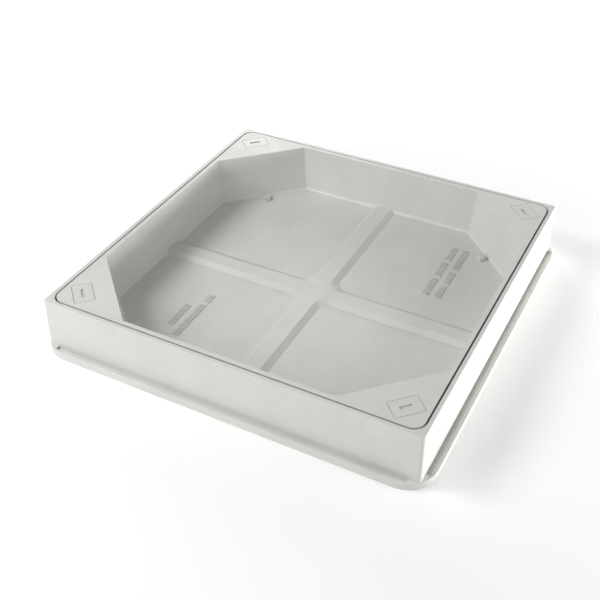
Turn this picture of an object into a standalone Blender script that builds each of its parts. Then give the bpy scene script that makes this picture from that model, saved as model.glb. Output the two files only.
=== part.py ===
"""Recessed square manhole cover: a moulded frame and a tray that takes paving.

Metres, +Z up. The origin is the middle of the frame's underside, and the sides
of the square run along X and Y. The cover is the same left to right and front
to back, so each corner piece is placed once and repeated in the four corners.
"""

import math

import bmesh
import bpy
from mathutils import Matrix, Vector

# Levels above the underside of the frame
TOP = 0.0950
FLANGE_TOP = 0.0122
GROOVE_BOTTOM = 0.0082
LEDGE_TOP = 0.0030
TRAY_UNDERSIDE = 0.0036
TRAY_FOOT = 0.0053
FLOOR_LEVEL = 0.0086
RIB_LEVEL = 0.0142

# Half widths of the square outlines
FLANGE_HALF = 0.3232
GROOVE_HALF = 0.3172
WALL_HALF_LOW = 0.3099
WALL_HALF_TOP = 0.3081
FRAME_INSIDE_LOW = 0.2995
FRAME_INSIDE_TOP = 0.3015
OPENING_HALF = 0.2785
TRAY_HALF_LOW = 0.2945
TRAY_HALF_TOP = 0.2985
TRAY_KEEL_HALF = 0.2869
RECESS_HALF_LOW = 0.2857
RECESS_HALF_TOP = 0.2917

# Corner radii and chamfers of those outlines
FLANGE_CORNER = 0.047
WALL_CORNER = 0.005
GROOVE_REACH = 0.2920
FRAME_INSIDE_CORNER = 0.0206
TRAY_CORNER = 0.0176
KEEL_CORNER = 0.010
RECESS_CHAMFER = 0.119
OPENING_CHAMFER = 0.098
FLOOR_FILLET = 0.006
RIM_ROUNDING = 0.0012

# Cross rib on the tray floor and the channel under it
RIB_HALF_TOP = 0.0125
RIB_HALF_BASE = 0.0235
RIB_REACH = 0.2900
RIB_INNER_RADIUS = 0.016
RIB_SUNK = 0.0020
CHANNEL_TOP = 0.0094
CHANNEL_HALF_TOP = 0.0085
CHANNEL_HALF_BASE = 0.0180
CHANNEL_REACH = 0.2640

# Sealing strip between the frame's ledge and the tray's foot
SEAL_OUTER = 0.2975
SEAL_INNER = 0.2875
SEAL_OUTER_CORNER = 0.020
SEAL_INNER_CORNER = 0.010
SEAL_BOTTOM = 0.0033
SEAL_TOP = 0.0050

# Each corner's pieces lie about a point on the diagonal, this far from the middle
CORNER_REACH = 0.3750
SCREW_OFFSET = 0.0090
SLEEVE_OFFSET = 0.0095
COLUMN_HALF = 0.0270
COLUMN_BOTTOM = 0.0185
HOLLOW_TOP = 0.0890
HOLLOW_HALF_LOW = 0.2880
HOLLOW_HALF_TOP = 0.2915
HOLLOW_STEP = 0.0004
HOLLOW_NEAR_TOP = 0.3350
HOLLOW_NEAR_LOW = 0.3270

# Plug pocket, key pocket and the pieces in them
PLUG_LENGTH = 0.0445
PLUG_WIDTH = 0.0306
PLUG_CORNER = 0.0020
PLUG_THICKNESS = 0.0048
PLUG_GAP = 0.0007
SKIRT_LENGTH = 0.0340
SKIRT_WIDTH = 0.0220
SKIRT_DEPTH = 0.0060
SKIRT_WALL = 0.0020
SKIRT_CORNER = 0.0040
SLOT_LENGTH = 0.0200
SLOT_WIDTH = 0.0060
SLOT_DEPTH = 0.0022
SLOT_CORNER = 0.0021
KEY_POCKET_LENGTH = 0.0370
KEY_POCKET_WIDTH = 0.0250
KEY_POCKET_FLOOR = 0.0595

# Locking screw, its washer and nut, and the lifting sleeve
TOUCH_GAP = 0.0003
WASHER_RADIUS = 0.0088
WASHER_THICKNESS = 0.0016
WASHER_BORE_RADIUS = 0.0052
HEAD_RADIUS = 0.0080
HEAD_HEIGHT = 0.0100
HEAD_CHAMFER = 0.0008
SOCKET_ACROSS = 0.0080
SOCKET_DEPTH = 0.0050
SHANK_RADIUS = 0.0049
SHANK_TIP = 0.0065
TIP_CHAMFER = 0.0010
BORE_RADIUS = 0.0056
NUT_ACROSS = 0.0170
NUT_HEIGHT = 0.0080
NUT_BOTTOM = 0.0096
BOSS_RADIUS = 0.0150
BOSS_TOP = 0.0180
BOSS_BORE_BOTTOM = 0.0040
SLEEVE_RADIUS = 0.0080
SLEEVE_BORE_RADIUS = 0.0043
SLEEVE_TOP = 0.0660
SLEEVE_BOTTOM = 0.0360
SLEEVE_BORE_DEPTH = 0.0240
SLEEVE_CHAMFER = 0.0010

# Anchor bolts that key the infill to the tray floor
ANCHOR_X = 0.2142
ANCHOR_Y = 0.2172
ANCHOR_PAD_RADIUS = 0.0110
ANCHOR_PAD_BOTTOM = 0.0006
ANCHOR_ACROSS = 0.0130
ANCHOR_HEAD_HEIGHT = 0.0053
ANCHOR_CHAMFER = 0.0006
ANCHOR_SHANK_RADIUS = 0.0039
ANCHOR_SHANK_REACH = 0.0055
ANCHOR_HOLE_DEPTH = 0.0060
ANCHOR_WASHER_RADIUS = 0.0080
ANCHOR_WASHER_THICKNESS = 0.0014

# How far a cutter runs past a face, and a joined solid into its neighbour
CUT_MARGIN = 0.010
OVERLAP = 0.0010
MERGE_DISTANCE = 0.00001

ARC_SEGMENTS = 6
CORNER_SEGMENTS = 4
FILLET_SEGMENTS = 3
ROUNDING_SEGMENTS = 2
TURN_STEPS = 24
SHARP_ANGLE = math.radians(35)
CORNER_TURN = math.radians(-45)
DIAGONAL = math.sqrt(0.5)
CORNERS = {
    "front_left": (-1, -1),
    "front_right": (1, -1),
    "back_right": (1, 1),
    "back_left": (-1, 1),
}


def clear_scene():
    """Empty the scene."""
    for scene_object in list(bpy.data.objects):
        bpy.data.objects.remove(scene_object, do_unlink=True)


def make_collection(name):
    """Add a collection to the scene."""
    group = bpy.data.collections.new(name)
    bpy.context.scene.collection.children.link(group)
    return group


def make_material(name, colour, roughness, metallic):
    """Make a plain Principled material."""
    made = bpy.data.materials.new(name)
    made.use_nodes = True
    shader = made.node_tree.nodes["Principled BSDF"]
    shader.inputs["Base Color"].default_value = (*colour, 1.0)
    shader.inputs["Roughness"].default_value = roughness
    shader.inputs["Metallic"].default_value = metallic
    return made


def add_part(name, bm, group, material):
    """Turn a bmesh into one named part."""
    mesh = bpy.data.meshes.new(name)
    bm.to_mesh(mesh)
    bm.free()
    mesh.materials.append(material)
    mesh.shade_smooth()
    mesh.set_sharp_from_angle(angle=SHARP_ANGLE)
    part = bpy.data.objects.new(name, mesh)
    group.objects.link(part)
    return part


def add_cutter(name, bm, group, four_corners=False):
    """Turn a bmesh into a hidden cutter, repeated in the four corners if asked."""
    mesh = bpy.data.meshes.new(name)
    bm.to_mesh(mesh)
    bm.free()
    cutter = bpy.data.objects.new(name, mesh)
    cutter.hide_render = True
    cutter.display_type = "WIRE"
    group.objects.link(cutter)
    if four_corners:
        mirror = cutter.modifiers.new("four corners", "MIRROR")
        mirror.use_axis = (True, True, False)
        mirror.merge_threshold = MERGE_DISTANCE
    return cutter


def combine(part, tool, operation):
    """Cut a part with a tool, or join the tool to it."""
    step = part.modifiers.new(tool.name, "BOOLEAN")
    step.operation = operation
    step.solver = "EXACT"
    step.object = tool


def upright_edges(bm, least_rise):
    """The edges that climb more than the stated height."""
    return [edge for edge in bm.edges if abs(edge.verts[0].co.z - edge.verts[1].co.z) > least_rise]


def square_block(half_low, half_top, low, top, corner, segments=ARC_SEGMENTS):
    """A square block with drafted sides and rounded or chamfered upright corners."""
    bm = bmesh.new()
    bmesh.ops.create_cube(bm, size=2.0)
    for vertex in bm.verts:
        half = half_top if vertex.co.z > 0 else half_low
        level = top if vertex.co.z > 0 else low
        vertex.co = Vector((vertex.co.x * half, vertex.co.y * half, level))
    upright = upright_edges(bm, 0.5 * (top - low))
    bmesh.ops.bevel(bm, geom=upright, offset=corner, segments=segments, profile=0.5, affect="EDGES")
    return bm


def round_level_edges(bm, level, radius, segments):
    """Round the edges that lie at one level."""
    flat = []
    for edge in bm.edges:
        if all(abs(vertex.co.z - level) < MERGE_DISTANCE for vertex in edge.verts):
            flat.append(edge)
    bmesh.ops.bevel(bm, geom=flat, offset=radius, segments=segments, profile=0.5, affect="EDGES")


def cross_block(half_top, half_base, reach, low, top, inner_radius):
    """A cross of two sloping-sided bars whose four inner corners are rounded."""
    bm = bmesh.new()
    bmesh.ops.create_cube(bm, size=2.0)
    for vertex in bm.verts:
        level = top if vertex.co.z > 0 else low
        vertex.co = Vector((vertex.co.x * half_top, vertex.co.y * half_top, level))
    bm.normal_update()
    for side in [face for face in bm.faces if abs(face.normal.z) < 0.5]:
        outward = side.normal.copy()
        grown = bmesh.ops.extrude_face_region(bm, geom=[side])["geom"]
        end = [item for item in grown if isinstance(item, bmesh.types.BMVert)]
        bmesh.ops.translate(bm, verts=end, vec=outward * (reach - half_top))
        bmesh.ops.delete(bm, geom=[side], context="FACES_ONLY")
    bmesh.ops.recalc_face_normals(bm, faces=bm.faces)
    for vertex in bm.verts:
        if vertex.co.z > 0.5 * (low + top):
            continue
        for axis in (0, 1):
            if abs(vertex.co[axis]) < 0.5 * reach:
                vertex.co[axis] = math.copysign(half_base, vertex.co[axis])
    inner = []
    for edge in upright_edges(bm, 0.5 * (top - low)):
        if all(max(abs(vertex.co.x), abs(vertex.co.y)) < 0.5 * reach for vertex in edge.verts):
            inner.append(edge)
    bmesh.ops.bevel(
        bm, geom=inner, offset=inner_radius, segments=CORNER_SEGMENTS, profile=0.5, affect="EDGES"
    )
    bmesh.ops.dissolve_limit(bm, angle_limit=0.001, verts=bm.verts, edges=bm.edges)
    return bm


def corner_frame(across=0.0):
    """Placement at the back right corner: local X along the corner's slant, Y outward."""
    place = Vector((DIAGONAL, DIAGONAL, 0)) * CORNER_REACH + Vector((DIAGONAL, -DIAGONAL, 0)) * across
    return Matrix.Translation(place) @ Matrix.Rotation(CORNER_TURN, 4, "Z")


def slanted_block(length, width, low, top, corner, placement):
    """A rounded block that lies along a corner's slant."""
    bm = bmesh.new()
    bmesh.ops.create_cube(bm, size=1.0)
    for vertex in bm.verts:
        level = top if vertex.co.z > 0 else low
        vertex.co = Vector((vertex.co.x * length, vertex.co.y * width, level))
    upright = upright_edges(bm, 0.5 * (top - low))
    bmesh.ops.bevel(
        bm, geom=upright, offset=corner, segments=CORNER_SEGMENTS, profile=0.5, affect="EDGES"
    )
    bmesh.ops.transform(bm, matrix=placement, verts=bm.verts)
    return bm


def post(radius, low, top, placement, sides=TURN_STEPS):
    """An upright cylinder, or a prism with few sides."""
    bm = bmesh.new()
    upright = placement @ Matrix.Translation((0, 0, 0.5 * (low + top)))
    bmesh.ops.create_cone(
        bm, cap_ends=True, segments=sides, radius1=radius, radius2=radius, depth=top - low, matrix=upright
    )
    return bm


def hexagon(across, low, top, placement):
    """An upright hexagonal prism, sized across its flats."""
    return post(across / math.sqrt(3), low, top, placement, sides=6)


def trim(bm, point, outward):
    """Remove what lies behind a plane and close the cut."""
    everything = bm.verts[:] + bm.edges[:] + bm.faces[:]
    cut = bmesh.ops.bisect_plane(bm, geom=everything, plane_co=point, plane_no=outward, clear_inner=True)
    rim = [item for item in cut["geom_cut"] if isinstance(item, bmesh.types.BMEdge)]
    bmesh.ops.contextual_create(bm, geom=rim)


def corner_hollow(low, top, step, side):
    """The space behind a corner's slanting wall; side is 1 or -1 for one half, 0 for all of it."""
    bm = square_block(
        HOLLOW_HALF_LOW - step, HOLLOW_HALF_TOP - step, low, top, KEEL_CORNER, FILLET_SEGMENTS
    )
    outward = Vector((DIAGONAL, DIAGONAL, 0))
    along = Vector((DIAGONAL, -DIAGONAL, 0))
    lean = (HOLLOW_NEAR_TOP - HOLLOW_NEAR_LOW) / TOP
    trim(bm, outward * HOLLOW_NEAR_LOW, (outward - Vector((0, 0, lean))).normalized())
    if side:
        trim(bm, along * side * COLUMN_HALF, along * side)
    bmesh.ops.recalc_face_normals(bm, faces=bm.faces)
    return bm


def turned(name, profile, group, material):
    """A turned piece from a profile of (radius, height), run down its outer side."""
    mesh = bpy.data.meshes.new(name)
    points = [(radius, 0.0, height) for radius, height in profile]
    edges = [(index, index + 1) for index in range(len(points) - 1)]
    closed = profile[0][0] > 0
    if closed:
        edges.append((len(points) - 1, 0))
    mesh.from_pydata(points, edges, [])
    mesh.materials.append(material)
    piece = bpy.data.objects.new(name, mesh)
    group.objects.link(piece)
    screw = piece.modifiers.new("turn", "SCREW")
    screw.steps = TURN_STEPS
    screw.render_steps = TURN_STEPS
    screw.use_merge_vertices = True
    screw.merge_threshold = MERGE_DISTANCE
    return piece


def corner_place(signs, across):
    """Where a corner piece stands, mirrored into the corner that the signs name."""
    point = corner_frame(across).translation
    return Vector((point.x * signs[0], point.y * signs[1], 0))


def groove_strip(across, along):
    """A straight cutter over the flange, from one side of the frame to the other."""
    bm = bmesh.new()
    bmesh.ops.create_cube(bm, size=2.0)
    for vertex in bm.verts:
        level = FLANGE_TOP + CUT_MARGIN if vertex.co.z > 0 else GROOVE_BOTTOM
        vertex.co = Vector((vertex.co.x * across, vertex.co.y * along, level))
    return bm


def make_frame(parts, cutters, material):
    """The frame: grooved base flange, wall, ledge and a nut boss in each corner."""
    flange = square_block(FLANGE_HALF, FLANGE_HALF, 0.0, FLANGE_TOP, FLANGE_CORNER)
    round_level_edges(flange, FLANGE_TOP, RIM_ROUNDING, ROUNDING_SEGMENTS)
    frame = add_part("frame", flange, parts, material)
    for name, reach in (("side", (GROOVE_HALF, GROOVE_REACH)), ("end", (GROOVE_REACH, GROOVE_HALF))):
        strip = groove_strip(*reach)
        combine(frame, add_cutter(f"groove_{name}", strip, cutters), "DIFFERENCE")
    wall = square_block(WALL_HALF_LOW, WALL_HALF_TOP, GROOVE_BOTTOM - OVERLAP, TOP, WALL_CORNER)
    round_level_edges(wall, TOP, RIM_ROUNDING, ROUNDING_SEGMENTS)
    combine(frame, add_cutter("frame_wall", wall, cutters), "UNION")
    draft = (FRAME_INSIDE_TOP - FRAME_INSIDE_LOW) / (TOP - LEDGE_TOP)
    inside = square_block(
        FRAME_INSIDE_LOW,
        FRAME_INSIDE_TOP + draft * CUT_MARGIN,
        LEDGE_TOP,
        TOP + CUT_MARGIN,
        FRAME_INSIDE_CORNER,
    )
    combine(frame, add_cutter("frame_inside", inside, cutters), "DIFFERENCE")
    opening = square_block(
        OPENING_HALF, OPENING_HALF, -CUT_MARGIN, LEDGE_TOP + CUT_MARGIN, OPENING_CHAMFER, segments=1
    )
    combine(frame, add_cutter("frame_opening", opening, cutters), "DIFFERENCE")
    place = corner_frame(SCREW_OFFSET)
    boss = post(BOSS_RADIUS, OVERLAP, BOSS_TOP, place)
    combine(frame, add_cutter("nut_boss", boss, cutters, four_corners=True), "UNION")
    pocket = hexagon(NUT_ACROSS + 2 * TOUCH_GAP, NUT_BOTTOM - TOUCH_GAP, BOSS_TOP + CUT_MARGIN, place)
    combine(frame, add_cutter("nut_pocket", pocket, cutters, four_corners=True), "DIFFERENCE")
    bore = post(BORE_RADIUS, BOSS_BORE_BOTTOM, BOSS_TOP, place)
    combine(frame, add_cutter("nut_bore", bore, cutters, four_corners=True), "DIFFERENCE")
    return frame


def make_seal(parts, cutters, material):
    """The flat sealing strip that runs round the ledge."""
    strip = square_block(SEAL_OUTER, SEAL_OUTER, SEAL_BOTTOM, SEAL_TOP, SEAL_OUTER_CORNER)
    seal = add_part("sealing_strip", strip, parts, material)
    middle = square_block(
        SEAL_INNER, SEAL_INNER, SEAL_BOTTOM - CUT_MARGIN, SEAL_TOP + CUT_MARGIN, SEAL_INNER_CORNER
    )
    combine(seal, add_cutter("strip_middle", middle, cutters), "DIFFERENCE")
    return seal


def shape_tray_bowl(tray, cutters):
    """The tray's eight-sided recess, its cross rib and the channel below the rib."""
    keel = square_block(
        TRAY_KEEL_HALF,
        TRAY_KEEL_HALF,
        TRAY_UNDERSIDE,
        FLOOR_LEVEL - OVERLAP,
        KEEL_CORNER,
        FILLET_SEGMENTS,
    )
    combine(tray, add_cutter("tray_keel", keel, cutters), "UNION")
    draft = (RECESS_HALF_TOP - RECESS_HALF_LOW) / (TOP - FLOOR_LEVEL)
    recess = square_block(
        RECESS_HALF_LOW,
        RECESS_HALF_TOP + draft * CUT_MARGIN,
        FLOOR_LEVEL,
        TOP + CUT_MARGIN,
        RECESS_CHAMFER,
        segments=1,
    )
    round_level_edges(recess, FLOOR_LEVEL, FLOOR_FILLET, FILLET_SEGMENTS)
    combine(tray, add_cutter("recess", recess, cutters), "DIFFERENCE")
    slope = (RIB_HALF_BASE - RIB_HALF_TOP) / (RIB_LEVEL - FLOOR_LEVEL)
    rib = cross_block(
        RIB_HALF_TOP,
        RIB_HALF_BASE + slope * RIB_SUNK,
        RIB_REACH,
        FLOOR_LEVEL - RIB_SUNK,
        RIB_LEVEL,
        RIB_INNER_RADIUS,
    )
    combine(tray, add_cutter("cross_rib", rib, cutters), "UNION")
    channel = cross_block(
        CHANNEL_HALF_TOP,
        CHANNEL_HALF_BASE,
        CHANNEL_REACH,
        TRAY_UNDERSIDE - OVERLAP,
        CHANNEL_TOP,
        RIB_INNER_RADIUS,
    )
    combine(tray, add_cutter("rib_channel", channel, cutters), "DIFFERENCE")


def shape_tray_corners(tray, cutters):
    """The hollows behind the slanting walls and the pockets in the corner plates."""
    foot = corner_hollow(-CUT_MARGIN, COLUMN_BOTTOM, HOLLOW_STEP, 0)
    combine(tray, add_cutter("corner_foot", foot, cutters, four_corners=True), "DIFFERENCE")
    for side, name in ((1, "hollow_right"), (-1, "hollow_left")):
        hollow = corner_hollow(-CUT_MARGIN, HOLLOW_TOP, 0.0, side)
        combine(tray, add_cutter(name, hollow, cutters, four_corners=True), "DIFFERENCE")
    seat = TOP - PLUG_THICKNESS - TOUCH_GAP
    middle = corner_frame()
    plug_pocket = slanted_block(
        PLUG_LENGTH + 2 * PLUG_GAP,
        PLUG_WIDTH + 2 * PLUG_GAP,
        seat,
        TOP + CUT_MARGIN,
        PLUG_CORNER + PLUG_GAP,
        middle,
    )
    combine(tray, add_cutter("plug_pocket", plug_pocket, cutters, four_corners=True), "DIFFERENCE")
    key_pocket = slanted_block(
        KEY_POCKET_LENGTH, KEY_POCKET_WIDTH, KEY_POCKET_FLOOR, TOP, SKIRT_CORNER, middle
    )
    combine(tray, add_cutter("key_pocket", key_pocket, cutters, four_corners=True), "DIFFERENCE")
    bore = post(BORE_RADIUS, 0.0, KEY_POCKET_FLOOR + CUT_MARGIN, corner_frame(SCREW_OFFSET))
    combine(tray, add_cutter("screw_bore", bore, cutters, four_corners=True), "DIFFERENCE")
    socket = post(
        SLEEVE_RADIUS + TOUCH_GAP,
        SLEEVE_BOTTOM - TOUCH_GAP,
        KEY_POCKET_FLOOR + CUT_MARGIN,
        corner_frame(-SLEEVE_OFFSET),
    )
    combine(tray, add_cutter("sleeve_socket", socket, cutters, four_corners=True), "DIFFERENCE")


def make_tray(parts, cutters, material):
    """The cover: a deep tray for paving, with a triangular plate in each corner."""
    draft = (TRAY_HALF_TOP - TRAY_HALF_LOW) / (TOP - TRAY_UNDERSIDE)
    foot_half = TRAY_HALF_LOW + draft * (TRAY_FOOT - TRAY_UNDERSIDE)
    body = square_block(foot_half, TRAY_HALF_TOP, TRAY_FOOT, TOP, TRAY_CORNER)
    tray = add_part("cover_tray", body, parts, material)
    shape_tray_bowl(tray, cutters)
    shape_tray_corners(tray, cutters)
    spot = Matrix.Translation((ANCHOR_X, ANCHOR_Y, 0))
    pad = post(ANCHOR_PAD_RADIUS, ANCHOR_PAD_BOTTOM, TRAY_UNDERSIDE + OVERLAP, spot)
    combine(tray, add_cutter("anchor_pad", pad, cutters, four_corners=True), "UNION")
    hole = post(
        ANCHOR_SHANK_RADIUS + TOUCH_GAP,
        FLOOR_LEVEL - ANCHOR_HOLE_DEPTH,
        FLOOR_LEVEL + CUT_MARGIN,
        spot,
    )
    combine(tray, add_cutter("anchor_hole", hole, cutters, four_corners=True), "DIFFERENCE")
    return tray


def make_plug(name, signs, parts, cutters, material):
    """A push-in plug with a shallow prying slot, on a skirt that fits the key pocket."""
    bottom = TOP - PLUG_THICKNESS
    flat = Matrix.Rotation(CORNER_TURN * signs[0] * signs[1], 4, "Z")
    plate = slanted_block(PLUG_LENGTH, PLUG_WIDTH, bottom, TOP, PLUG_CORNER, flat)
    plug = add_part(name, plate, parts, material)
    skirt = slanted_block(
        SKIRT_LENGTH, SKIRT_WIDTH, bottom - SKIRT_DEPTH, bottom + OVERLAP, SKIRT_CORNER, flat
    )
    inside = slanted_block(
        SKIRT_LENGTH - 2 * SKIRT_WALL,
        SKIRT_WIDTH - 2 * SKIRT_WALL,
        bottom - SKIRT_DEPTH - CUT_MARGIN,
        bottom,
        SKIRT_CORNER - SKIRT_WALL,
        flat,
    )
    slot = slanted_block(
        SLOT_LENGTH, SLOT_WIDTH, TOP - SLOT_DEPTH, TOP + CUT_MARGIN, SLOT_CORNER, flat
    )
    plug.location = corner_place(signs, 0.0)
    steps = (("skirt", skirt, "UNION"), ("inside", inside, "DIFFERENCE"), ("slot", slot, "DIFFERENCE"))
    for part_name, shape, operation in steps:
        tool = add_cutter(f"{name}_{part_name}", shape, cutters)
        tool.location = plug.location
        combine(plug, tool, operation)
    return plug


def make_screw(name, signs, parts, cutters, material):
    """A socket-headed locking screw, upright on its own axis."""
    under_head = KEY_POCKET_FLOOR + WASHER_THICKNESS + 2 * TOUCH_GAP
    head_top = under_head + HEAD_HEIGHT
    profile = [
        (0.0, head_top),
        (HEAD_RADIUS - HEAD_CHAMFER, head_top),
        (HEAD_RADIUS, head_top - HEAD_CHAMFER),
        (HEAD_RADIUS, under_head),
        (SHANK_RADIUS, under_head),
        (SHANK_RADIUS, SHANK_TIP + TIP_CHAMFER),
        (SHANK_RADIUS - TIP_CHAMFER, SHANK_TIP),
        (0.0, SHANK_TIP),
    ]
    screw = turned(name, profile, parts, material)
    screw.location = corner_place(signs, SCREW_OFFSET)
    socket = hexagon(SOCKET_ACROSS, head_top - SOCKET_DEPTH, head_top + CUT_MARGIN, Matrix.Identity(4))
    tool = add_cutter(f"{name}_socket", socket, cutters)
    tool.location = screw.location
    combine(screw, tool, "DIFFERENCE")
    return screw


def ring_profile(outer, inner, low, top):
    """The profile of a flat ring, run down its outer side and back up its bore."""
    return [(inner, top), (outer, top), (outer, low), (inner, low)]


def make_washer(name, signs, parts, material):
    """The washer under a locking screw's head."""
    low = KEY_POCKET_FLOOR + TOUCH_GAP
    profile = ring_profile(WASHER_RADIUS, WASHER_BORE_RADIUS, low, low + WASHER_THICKNESS)
    washer = turned(name, profile, parts, material)
    washer.location = corner_place(signs, SCREW_OFFSET)
    return washer


def make_sleeve(name, signs, parts, material):
    """The bushing that a lifting key screws into, closed at the bottom."""
    profile = [
        (0.0, SLEEVE_TOP - SLEEVE_BORE_DEPTH),
        (SLEEVE_BORE_RADIUS, SLEEVE_TOP - SLEEVE_BORE_DEPTH),
        (SLEEVE_BORE_RADIUS, SLEEVE_TOP - SLEEVE_CHAMFER),
        (SLEEVE_BORE_RADIUS + SLEEVE_CHAMFER, SLEEVE_TOP),
        (SLEEVE_RADIUS - SLEEVE_CHAMFER, SLEEVE_TOP),
        (SLEEVE_RADIUS, SLEEVE_TOP - SLEEVE_CHAMFER),
        (SLEEVE_RADIUS, SLEEVE_BOTTOM),
        (0.0, SLEEVE_BOTTOM),
    ]
    sleeve = turned(name, profile, parts, material)
    sleeve.location = corner_place(signs, -SLEEVE_OFFSET)
    return sleeve


def make_nut(name, signs, parts, cutters, material):
    """The hexagon nut held in a corner boss of the frame."""
    turn = Matrix.Rotation(CORNER_TURN * signs[0] * signs[1], 4, "Z")
    nut = add_part(name, hexagon(NUT_ACROSS, NUT_BOTTOM, NUT_BOTTOM + NUT_HEIGHT, turn), parts, material)
    nut.location = corner_place(signs, SCREW_OFFSET)
    bore = post(SHANK_RADIUS + TOUCH_GAP, 0.0, TOP, Matrix.Identity(4))
    tool = add_cutter(f"{name}_bore", bore, cutters)
    tool.location = nut.location
    combine(nut, tool, "DIFFERENCE")
    return nut


def make_anchor(names, signs, parts, cutters, material):
    """A short hexagon bolt and its washer, standing up from the tray floor."""
    bolt_name, washer_name = names
    place = Vector((ANCHOR_X * signs[0], ANCHOR_Y * signs[1], FLOOR_LEVEL))
    washer_top = TOUCH_GAP + ANCHOR_WASHER_THICKNESS
    profile = ring_profile(
        ANCHOR_WASHER_RADIUS, ANCHOR_SHANK_RADIUS + TOUCH_GAP, TOUCH_GAP, washer_top
    )
    washer = turned(washer_name, profile, parts, material)
    washer.location = place
    low = washer_top + TOUCH_GAP
    head = hexagon(ANCHOR_ACROSS, low, low + ANCHOR_HEAD_HEIGHT, Matrix.Identity(4))
    round_level_edges(head, low + ANCHOR_HEAD_HEIGHT, ANCHOR_CHAMFER, 1)
    bolt = add_part(bolt_name, head, parts, material)
    bolt.location = place
    shank = post(ANCHOR_SHANK_RADIUS, -ANCHOR_SHANK_REACH, low + OVERLAP, Matrix.Identity(4))
    tool = add_cutter(f"{bolt_name}_shank", shank, cutters)
    tool.location = place
    combine(bolt, tool, "UNION")


def build_cover():
    """Make every part of the cover."""
    clear_scene()
    parts = make_collection("manhole_cover")
    cutters = make_collection("cutters")
    composite = make_material("composite_grey", (0.66, 0.67, 0.64), 0.55, 0.0)
    plug_plastic = make_material("plug_plastic", (0.69, 0.70, 0.67), 0.50, 0.0)
    rubber = make_material("seal_rubber", (0.03, 0.03, 0.03), 0.80, 0.0)
    steel = make_material("stainless_steel", (0.58, 0.57, 0.55), 0.35, 1.0)
    make_frame(parts, cutters, composite)
    make_seal(parts, cutters, rubber)
    make_tray(parts, cutters, composite)
    for corner, signs in CORNERS.items():
        make_plug(f"corner_plug_{corner}", signs, parts, cutters, plug_plastic)
        make_sleeve(f"lifting_sleeve_{corner}", signs, parts, steel)
        make_screw(f"locking_screw_{corner}", signs, parts, cutters, steel)
        make_washer(f"screw_washer_{corner}", signs, parts, steel)
        make_nut(f"locking_nut_{corner}", signs, parts, cutters, steel)
        names = (f"anchor_bolt_{corner}", f"anchor_washer_{corner}")
        make_anchor(names, signs, parts, cutters, steel)


build_cover()
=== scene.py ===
"""Looks for the recessed square manhole cover: materials, small moulded detail, light and camera."""

import math

import bmesh
import bpy
from mathutils import Matrix, Vector


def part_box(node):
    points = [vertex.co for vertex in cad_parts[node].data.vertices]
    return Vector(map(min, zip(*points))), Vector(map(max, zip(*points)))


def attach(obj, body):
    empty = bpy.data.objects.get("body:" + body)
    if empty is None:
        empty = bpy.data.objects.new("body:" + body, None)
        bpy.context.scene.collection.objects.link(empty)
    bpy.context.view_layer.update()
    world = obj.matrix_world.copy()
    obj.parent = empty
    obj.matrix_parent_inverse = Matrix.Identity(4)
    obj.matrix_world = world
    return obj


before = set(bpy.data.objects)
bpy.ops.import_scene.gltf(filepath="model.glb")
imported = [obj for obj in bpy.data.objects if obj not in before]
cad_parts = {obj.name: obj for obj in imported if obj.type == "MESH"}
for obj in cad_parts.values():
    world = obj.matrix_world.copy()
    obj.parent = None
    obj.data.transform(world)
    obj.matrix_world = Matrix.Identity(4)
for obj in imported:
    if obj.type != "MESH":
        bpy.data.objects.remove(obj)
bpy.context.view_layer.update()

# The camera, fitted to the outlines of the frame and tray
CAMERA_AT = (0.5495, -1.1175, 0.9723)
CAMERA_TARGET = (0.0365, -0.1295, 0.0959)
CAMERA_LENS = 56.42
CAMERA_SENSOR = 36.0
CAMERA_CLIP = (0.05, 50.0)

# Studio lights: azimuth from +X and elevation in degrees, power in watts
LIGHT_DISTANCE = 2.2
LIGHT_SIZE = 0.8
LIGHT_AIM = (0.0, 0.0, 0.03)
STUDIO_LIGHTS = (
    ("back_left_low", 120, 8, 21.0),
    ("left_high", 210, 45, 22.0),
    ("front_left", 240, 25, 13.5),
    ("back_low", 90, 8, 10.5),
    ("right", 0, 25, 10.0),
    ("back_left", 120, 25, 5.0),
    ("front", 270, 25, 4.5),
)
STRIP_POWER = 34.5
STRIP_AZIMUTH = 30
STRIP_DISTANCE = 1.6
STRIP_LEVEL = 0.09
STRIP_SIZE = (1.6, 0.16)
STRIP_AIM_DISTANCE = 0.3
STRIP_AIM_LEVEL = 0.05
WORLD_STRENGTH = 0.25

# The pale floor, which lies just under the part
FLOOR_HALF = 12.0
FLOOR_LEVEL = -0.0002
FLOOR_GLOW = 0.07
FLOOR_DARK = (0.925, 0.925, 0.925)
FLOOR_LIGHT = (0.935, 0.935, 0.935)

# Colours of the materials, as linear light; the blocks get painted shade, darker than the floor they stand
# on, for the shadow between the raised strokes
COMPOSITE_LIGHT = (0.645, 0.645, 0.617)
COMPOSITE_DARK = (0.598, 0.598, 0.570)
COMPOSITE_WEAR_AND_HIGHLIGHT = (0.700, 0.700, 0.675)
PAD_SHADE_LIGHT = (0.530, 0.530, 0.508)
PAD_SHADE_DARK = (0.420, 0.420, 0.402)
PLUG_LIGHT = (0.635, 0.635, 0.607)
PLUG_DARK = (0.600, 0.600, 0.572)
RUBBER_LIGHT = (0.030, 0.030, 0.032)
RUBBER_DARK = (0.016, 0.016, 0.018)
STEEL_LIGHT = (0.74, 0.735, 0.71)
STEEL_DARK = (0.60, 0.595, 0.575)
STEEL_METAL = 0.45
# Paler edges, partly rubbed wear and partly a painted highlight, found by a bevel of this radius
WEAR_AND_HIGHLIGHT_RADIUS = 0.0012
WEAR_AND_HIGHLIGHT_SAMPLES = 4

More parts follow.
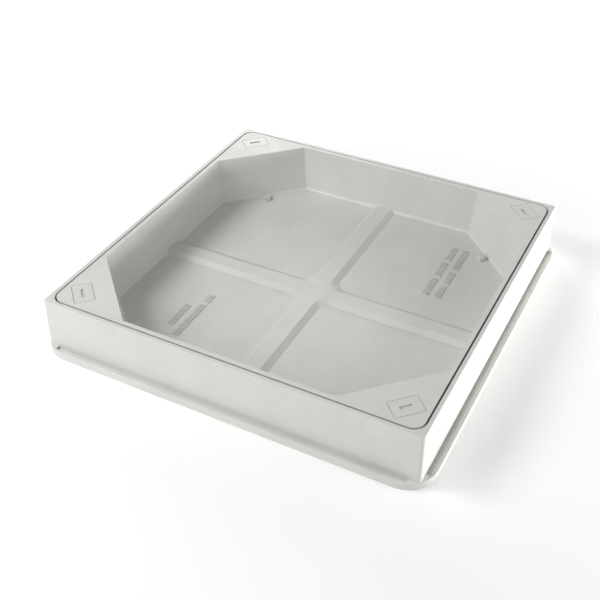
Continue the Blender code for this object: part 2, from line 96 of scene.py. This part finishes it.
# Raised blocks on two floor panels: rows as (x, first y, last y), all in metres
PAD_ROWS = (
    ("pad_row_left_outer", -0.1710, -0.1800, -0.1260, ()),
    ("pad_row_left_inner", -0.1490, -0.1980, -0.0900, (12,)),
    ("pad_row_right_inner", 0.1630, 0.0810, 0.2250, (7, 14)),
    ("pad_row_right_outer", 0.1840, 0.0810, 0.2250, (5, 11)),
)
PAD_PITCH = 0.0072
PAD_WIDTH = 0.0050
PAD_LENGTH = 0.0110
PAD_HEIGHT = 0.0010
PAD_SUNK = 0.0004
PAD_ROUNDING = 0.0004

# Rounded edges: the width, the segments and the smallest angle in degrees that is rounded
EDGE_ROUNDING = {
    "frame": (0.0008, 2, 30),
    "cover_tray": (0.0010, 2, 22),
    "corner_plug": (0.0004, 2, 35),
    "sealing_strip": (0.0003, 2, 35),
}
FASTENER_ROUNDING = (0.0002, 1, 40)
WELD_DISTANCE = 0.00002
SMOOTH_ANGLE = math.radians(24)


# ---------------------------------------------------------------- materials


def new_material(name):
    """A material with its node tree, its shader and object coordinates."""
    made = bpy.data.materials.new(name)
    made.use_nodes = True
    place = made.node_tree.nodes.new("ShaderNodeTexCoord")
    return made, made.node_tree.nodes["Principled BSDF"], place.outputs["Object"]


def add_noise(made, place, scale, detail, roughness=0.55, stretch=None):
    """A noise texture over the object, stretched along an axis if wanted."""
    tree = made.node_tree
    noise = tree.nodes.new("ShaderNodeTexNoise")
    noise.inputs["Scale"].default_value = scale
    noise.inputs["Detail"].default_value = detail
    noise.inputs["Roughness"].default_value = roughness
    if stretch:
        mapping = tree.nodes.new("ShaderNodeMapping")
        mapping.inputs["Scale"].default_value = stretch
        tree.links.new(place, mapping.inputs["Vector"])
        place = mapping.outputs["Vector"]
    tree.links.new(place, noise.inputs["Vector"])
    return noise.outputs["Fac"]


def add_ramp(made, value, low, high, dark, light):
    """A colour that runs from dark to light as a value goes from low to high."""
    tree = made.node_tree
    ramp = tree.nodes.new("ShaderNodeValToRGB")
    ramp.color_ramp.elements[0].position = low
    ramp.color_ramp.elements[0].color = (*dark, 1.0)
    ramp.color_ramp.elements[1].position = high
    ramp.color_ramp.elements[1].color = (*light, 1.0)
    tree.links.new(value, ramp.inputs["Fac"])
    return ramp.outputs["Color"]


def add_range(made, value, from_low, from_high, to_low, to_high):
    """A value moved from one range into another."""
    tree = made.node_tree
    moved = tree.nodes.new("ShaderNodeMapRange")
    moved.inputs["From Min"].default_value = from_low
    moved.inputs["From Max"].default_value = from_high
    moved.inputs["To Min"].default_value = to_low
    moved.inputs["To Max"].default_value = to_high
    tree.links.new(value, moved.inputs["Value"])
    return moved.outputs["Result"]


def add_bump(made, height, depth, strength, below=None):
    """A bump from a height, laid over another bump if one is given."""
    tree = made.node_tree
    bump = tree.nodes.new("ShaderNodeBump")
    bump.inputs["Distance"].default_value = depth
    bump.inputs["Strength"].default_value = strength
    tree.links.new(height, bump.inputs["Height"])
    if below:
        tree.links.new(below, bump.inputs["Normal"])
    return bump.outputs["Normal"]


def add_edge_mask(made, radius, broken):
    """A mask that is 1 on edges, for rubbed wear and a painted highlight, and 0 on flat faces, broken up by a
    noise.
    """
    tree = made.node_tree
    rounded = tree.nodes.new("ShaderNodeBevel")
    rounded.samples = WEAR_AND_HIGHLIGHT_SAMPLES
    rounded.inputs["Radius"].default_value = radius
    surface = tree.nodes.new("ShaderNodeNewGeometry")
    match = tree.nodes.new("ShaderNodeVectorMath")
    match.operation = "DOT_PRODUCT"
    tree.links.new(rounded.outputs["Normal"], match.inputs[0])
    tree.links.new(surface.outputs["Normal"], match.inputs[1])
    edge = add_range(made, match.outputs["Value"], 0.995, 0.90, 0.0, 1.0)
    product = tree.nodes.new("ShaderNodeMath")
    product.operation = "MULTIPLY"
    tree.links.new(edge, product.inputs[0])
    tree.links.new(add_range(made, broken, 0.40, 0.62, 0.15, 1.0), product.inputs[1])
    return product.outputs["Value"]


def mix_colour(made, mask, under, over):
    """A colour laid over another through a mask."""
    tree = made.node_tree
    mix = tree.nodes.new("ShaderNodeMix")
    mix.data_type = "RGBA"
    tree.links.new(mask, mix.inputs["Factor"])
    tree.links.new(under, mix.inputs["A"])
    mix.inputs["B"].default_value = (*over, 1.0)
    return mix.outputs["Result"]


def make_composite(name, dark, light):
    """Grey moulded composite: mottled and finely grained, with paler edges that are partly rubbed wear and
    partly a painted highlight.
    """
    made, shader, place = new_material(name)
    tree = made.node_tree
    mottle = add_noise(made, place, 13.0, 6.0, 0.62)
    grain = add_noise(made, place, 620.0, 3.0, 0.6)
    peel = add_noise(made, place, 95.0, 3.0)
    flow = add_noise(made, place, 34.0, 4.0, 0.6, (1.0, 1.0, 0.25))
    mottled = add_ramp(made, mottle, 0.32, 0.68, dark, light)
    # Paler edges: partly rubbed wear, partly a painted highlight
    wear_and_highlight = mix_colour(made, add_edge_mask(made, WEAR_AND_HIGHLIGHT_RADIUS, peel), mottled, COMPOSITE_WEAR_AND_HIGHLIGHT)
    tree.links.new(wear_and_highlight, shader.inputs["Base Color"])
    tree.links.new(add_range(made, flow, 0.3, 0.7, 0.38, 0.56), shader.inputs["Roughness"])
    fine = add_bump(made, grain, 0.00012, 0.30)
    tree.links.new(add_bump(made, peel, 0.0004, 0.22, fine), shader.inputs["Normal"])
    return made


def make_plug_plastic():
    """The plugs' smoother plastic."""
    made, shader, place = new_material("plug_plastic")
    tree = made.node_tree
    mottle = add_noise(made, place, 60.0, 4.0)
    grain = add_noise(made, place, 900.0, 2.0)
    scuff = add_noise(made, place, 220.0, 3.0, 0.6, (0.15, 1.0, 1.0))
    tree.links.new(add_ramp(made, mottle, 0.35, 0.65, PLUG_DARK, PLUG_LIGHT), shader.inputs["Base Color"])
    tree.links.new(add_range(made, scuff, 0.3, 0.7, 0.34, 0.52), shader.inputs["Roughness"])
    fine = add_bump(made, grain, 0.00008, 0.25)
    tree.links.new(add_bump(made, scuff, 0.00012, 0.20, fine), shader.inputs["Normal"])
    return made


def make_rubber():
    """Black rubber with a dusty bloom."""
    made, shader, place = new_material("seal_rubber")
    tree = made.node_tree
    bloom = add_noise(made, place, 80.0, 5.0, 0.65)
    pores = add_noise(made, place, 1200.0, 2.0)
    tree.links.new(add_ramp(made, bloom, 0.35, 0.7, RUBBER_DARK, RUBBER_LIGHT), shader.inputs["Base Color"])
    tree.links.new(add_range(made, bloom, 0.3, 0.7, 0.62, 0.85), shader.inputs["Roughness"])
    tree.links.new(add_bump(made, pores, 0.0001, 0.35), shader.inputs["Normal"])
    return made


def make_steel():
    """Dull stainless steel with drawn lines, under a film of dust that hides half its shine."""
    made, shader, place = new_material("stainless_steel")
    tree = made.node_tree
    lines = add_noise(made, place, 900.0, 3.0, 0.6, (1.0, 0.06, 1.0))
    stain = add_noise(made, place, 240.0, 4.0)
    shader.inputs["Metallic"].default_value = STEEL_METAL
    tree.links.new(add_ramp(made, stain, 0.3, 0.7, STEEL_DARK, STEEL_LIGHT), shader.inputs["Base Color"])
    tree.links.new(add_range(made, lines, 0.3, 0.7, 0.42, 0.60), shader.inputs["Roughness"])
    tree.links.new(add_bump(made, lines, 0.00006, 0.30), shader.inputs["Normal"])
    return made


def set_materials(looks):
    """Give every CAD node its material."""
    for name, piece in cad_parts.items():
        piece.data.materials.clear()
        if name in ("frame", "cover_tray"):
            piece.data.materials.append(looks["composite_grey"])
        elif name == "sealing_strip":
            piece.data.materials.append(looks["seal_rubber"])
        elif name.startswith("corner_plug"):
            piece.data.materials.append(looks["plug_plastic"])
        else:
            piece.data.materials.append(looks["stainless_steel"])


# ---------------------------------------------------------------- edges


def smooth_group():
    """A node group that shades faces smooth and keeps edges sharper than an angle."""
    group = bpy.data.node_groups.new("smooth_by_angle", "GeometryNodeTree")
    group.interface.new_socket("Geometry", in_out="INPUT", socket_type="NodeSocketGeometry")
    group.interface.new_socket("Geometry", in_out="OUTPUT", socket_type="NodeSocketGeometry")
    start = group.nodes.new("NodeGroupInput")
    faces = group.nodes.new("GeometryNodeSetShadeSmooth")
    edges = group.nodes.new("GeometryNodeSetShadeSmooth")
    edges.domain = "EDGE"
    angle = group.nodes.new("GeometryNodeInputMeshEdgeAngle")
    small = group.nodes.new("FunctionNodeCompare")
    small.operation = "LESS_THAN"
    small.inputs["B"].default_value = SMOOTH_ANGLE
    end = group.nodes.new("NodeGroupOutput")
    group.links.new(start.outputs[0], faces.inputs["Geometry"])
    group.links.new(faces.outputs["Geometry"], edges.inputs["Geometry"])
    group.links.new(angle.outputs["Unsigned Angle"], small.inputs["A"])
    group.links.new(small.outputs["Result"], edges.inputs["Shade Smooth"])
    group.links.new(edges.outputs["Geometry"], end.inputs[0])
    return group


def soften(piece, width, segments, angle, group):
    """Round a piece's edges and shade its curved corners smooth."""
    weld = piece.modifiers.new("weld", "WELD")
    weld.merge_threshold = WELD_DISTANCE
    bevel = piece.modifiers.new("bevel", "BEVEL")
    bevel.width = width
    bevel.segments = segments
    bevel.limit_method = "ANGLE"
    bevel.angle_limit = math.radians(angle)
    bevel.use_clamp_overlap = True
    smooth = piece.modifiers.new("smooth", "NODES")
    smooth.node_group = group
    weighted = piece.modifiers.new("weighted", "WEIGHTED_NORMAL")
    weighted.keep_sharp = True


def soften_pieces():
    """Round the moulded parts, and break the fasteners' edges a little."""
    group = smooth_group()
    for name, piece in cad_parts.items():
        rounding = FASTENER_ROUNDING
        for start, moulded in EDGE_ROUNDING.items():
            if name.startswith(start):
                rounding = moulded
        soften(piece, *rounding, group)


# ---------------------------------------------------------------- raised blocks


def add_pad(bm, across, along, level):
    """One raised block with rounded upper edges, added to a row."""
    made = bmesh.ops.create_cube(bm, size=1.0)["verts"]
    height = PAD_HEIGHT + PAD_SUNK
    middle = Vector((across, along, level + 0.5 * height - PAD_SUNK))
    for vertex in made:
        vertex.co = middle + Vector((vertex.co.x * PAD_LENGTH, vertex.co.y * PAD_WIDTH, vertex.co.z * height))
    chosen = set(made)
    rounded = []
    for edge in bm.edges:
        if chosen.issuperset(edge.verts) and edge.verts[0].co.z + edge.verts[1].co.z > 2 * level - PAD_SUNK:
            rounded.append(edge)
    bmesh.ops.bevel(
        bm, geom=rounded, offset=PAD_ROUNDING, segments=2, profile=0.5, affect="EDGES", clamp_overlap=True
    )


def add_pad_rows(look, level):
    """The rows of equal raised blocks on the floor of two panels."""
    for name, across, first, last, gaps in PAD_ROWS:
        bm = bmesh.new()
        count = int(round((last - first) / PAD_PITCH)) + 1
        for place in range(count):
            if place not in gaps:
                add_pad(bm, across, first + place * PAD_PITCH, level)
        mesh = bpy.data.meshes.new(name)
        bm.to_mesh(mesh)
        bm.free()
        row = bpy.data.objects.new(name, mesh)
        bpy.context.scene.collection.objects.link(row)
        mesh.materials.append(look)
        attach(row, "cover")


# ---------------------------------------------------------------- stage


def make_camera():
    """The camera that sees the part from its front right, above."""
    data = bpy.data.cameras.new("camera")
    camera = bpy.data.objects.new("camera", data)
    bpy.context.scene.collection.objects.link(camera)
    data.sensor_width = CAMERA_SENSOR
    data.lens = CAMERA_LENS
    data.clip_start, data.clip_end = CAMERA_CLIP
    camera.location = CAMERA_AT
    aim_at(camera, CAMERA_TARGET)
    bpy.context.scene.camera = camera


def aim_at(thing, target):
    """Turn a camera or a light towards a point."""
    thing.rotation_mode = "QUATERNION"
    thing.rotation_quaternion = (Vector(target) - thing.location).to_track_quat("-Z", "Y")


def area_light(name, location, target, size, power):
    """A rectangular light that faces a point."""
    data = bpy.data.lights.new(name, "AREA")
    data.shape = "RECTANGLE"
    data.size = size[0]
    data.size_y = size[1]
    data.energy = power
    light = bpy.data.objects.new(name, data)
    bpy.context.scene.collection.objects.link(light)
    light.location = location
    aim_at(light, target)


def make_floor():
    """A wide pale floor that glows faintly."""
    half = FLOOR_HALF
    mesh = bpy.data.meshes.new("floor")
    corners = [(-half, -half, 0), (half, -half, 0), (half, half, 0), (-half, half, 0)]
    mesh.from_pydata(corners, [], [(0, 1, 2, 3)])
    floor = bpy.data.objects.new("floor", mesh)
    bpy.context.scene.collection.objects.link(floor)
    white, shader, place = new_material("floor_white")
    shader.inputs["Specular IOR Level"].default_value = 0.0
    shader.inputs["Roughness"].default_value = 1.0
    shader.inputs["Emission Color"].default_value = (1.0, 1.0, 1.0, 1.0)
    shader.inputs["Emission Strength"].default_value = FLOOR_GLOW
    cloud = add_noise(white, place, 2.0, 2.0)
    colour = add_ramp(white, cloud, 0.3, 0.7, FLOOR_DARK, FLOOR_LIGHT)
    white.node_tree.links.new(colour, shader.inputs["Base Color"])
    mesh.materials.append(white)
    floor.location.z = FLOOR_LEVEL


def make_light():
    """Soft light from all round, and a long low strip on the right."""
    world = bpy.data.worlds.new("studio")
    bpy.context.scene.world = world
    world.use_nodes = True
    background = world.node_tree.nodes["Background"]
    background.inputs["Color"].default_value = (1.0, 1.0, 1.0, 1.0)
    background.inputs["Strength"].default_value = WORLD_STRENGTH
    for name, azimuth, elevation, power in STUDIO_LIGHTS:
        turn = Matrix.Rotation(math.radians(azimuth), 3, "Z")
        lift = math.radians(elevation)
        offset = turn @ Vector((math.cos(lift), 0.0, math.sin(lift))) * LIGHT_DISTANCE
        area_light(name, Vector(LIGHT_AIM) + offset, LIGHT_AIM, (LIGHT_SIZE, LIGHT_SIZE), power)
    turn = Matrix.Rotation(math.radians(STRIP_AZIMUTH), 3, "Z")
    strip_at = turn @ Vector((STRIP_DISTANCE, 0.0, STRIP_LEVEL))
    strip_aim = turn @ Vector((STRIP_AIM_DISTANCE, 0.0, STRIP_AIM_LEVEL))
    area_light("right_strip", strip_at, strip_aim, STRIP_SIZE, STRIP_POWER)
    scene = bpy.context.scene
    scene.view_settings.view_transform = "Standard"
    scene.view_settings.look = "None"


looks = {
    "composite_grey": make_composite("composite_grey", COMPOSITE_DARK, COMPOSITE_LIGHT),
    "plug_plastic": make_plug_plastic(),
    "seal_rubber": make_rubber(),
    "stainless_steel": make_steel(),
}
set_materials(looks)
soften_pieces()
washer_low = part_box("anchor_washer_front_left")[0]
# The raised blocks get a darker composite: painted shade for the shadow between them
add_pad_rows(make_composite("composite_painted_shade", PAD_SHADE_DARK, PAD_SHADE_LIGHT), washer_low[2])
make_floor()
make_light()
make_camera()
